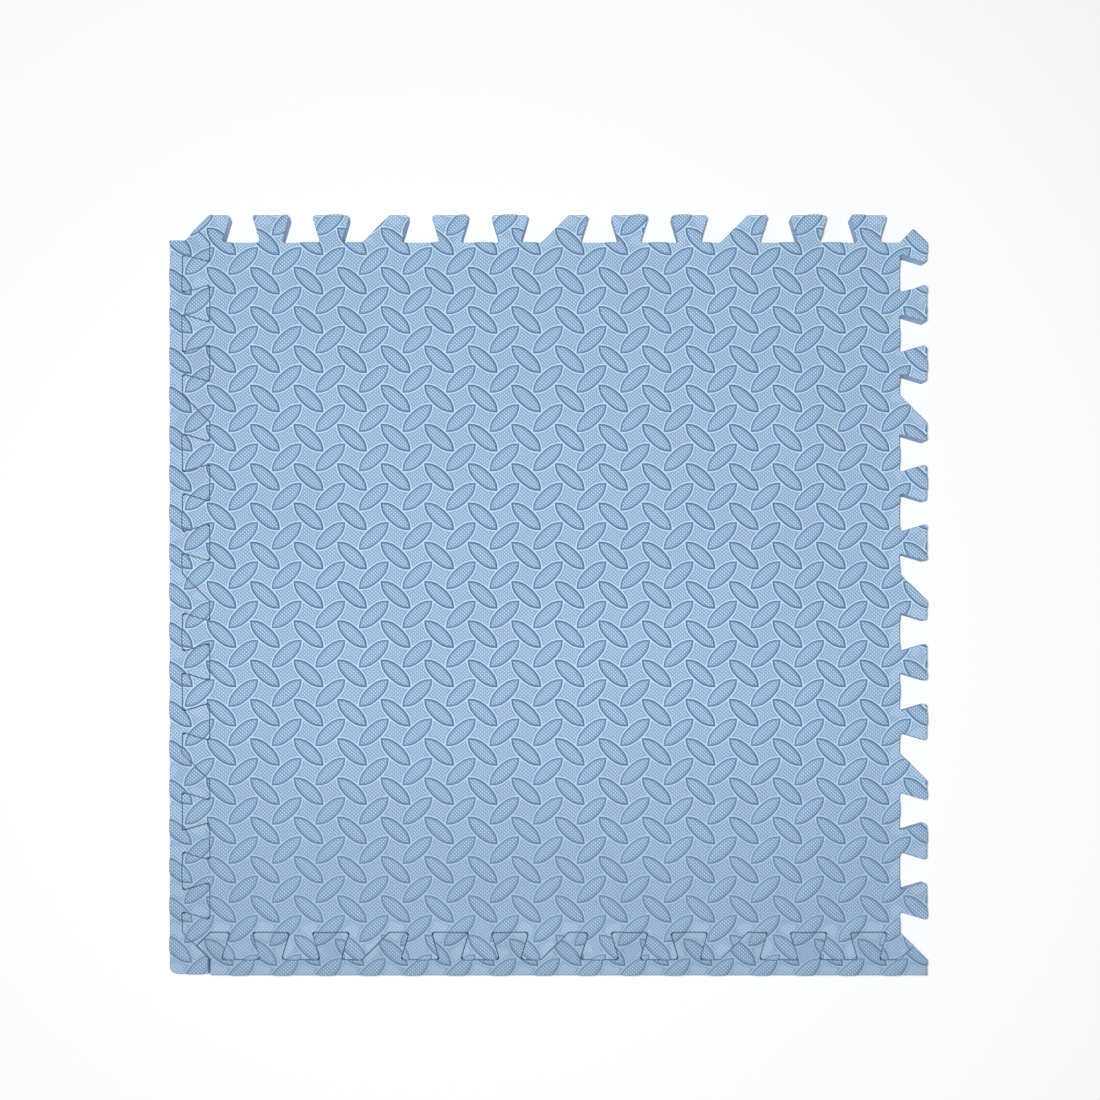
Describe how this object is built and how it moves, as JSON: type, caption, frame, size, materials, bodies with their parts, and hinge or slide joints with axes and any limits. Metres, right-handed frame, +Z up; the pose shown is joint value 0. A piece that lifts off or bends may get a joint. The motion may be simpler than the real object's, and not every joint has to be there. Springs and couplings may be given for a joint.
{
  "type": "interlocking foam blocking mat",
  "caption": "Square foam blocking mat with dovetailed puzzle edges, raised leaf tread and two plug-in edging strips, left and bottom.",
  "frame": {"origin": "middle of the tile's 600 mm module square, on its flat underside; tiles joined edge to edge stand 600 mm apart in X and Y", "axes": "+Z up, out of the embossed working face; +X and +Y point to the two sides with free teeth, -X to the left strip, -Y to the bottom strip"},
  "size_m": [0.6338, 0.6362, 0.012],
  "materials": {
    "tile_foam": "light blue closed-cell EVA foam, matt, embossed with raised leaves and a fine linen grain",
    "left_border_foam": "the same light blue EVA foam, a little darker",
    "bottom_border_foam": "the same light blue EVA foam, a little darker"
  },
  "bodies": {
    "tile": {"main_tile": "tile_foam"},
    "left_strip": {"left_border": "left_border_foam"},
    "bottom_strip": {"bottom_border": "bottom_border_foam"}
  },
  "joints": [
    {"name": "left_border_lift", "type": "slide", "parent": "tile", "child": "left_strip", "axis": [0, 0, 1], "range_m": [0, 0.03]},
    {"name": "bottom_border_lift", "type": "slide", "parent": "tile", "child": "bottom_strip", "axis": [0, 0, 1], "range_m": [0, 0.03]}
  ]
}
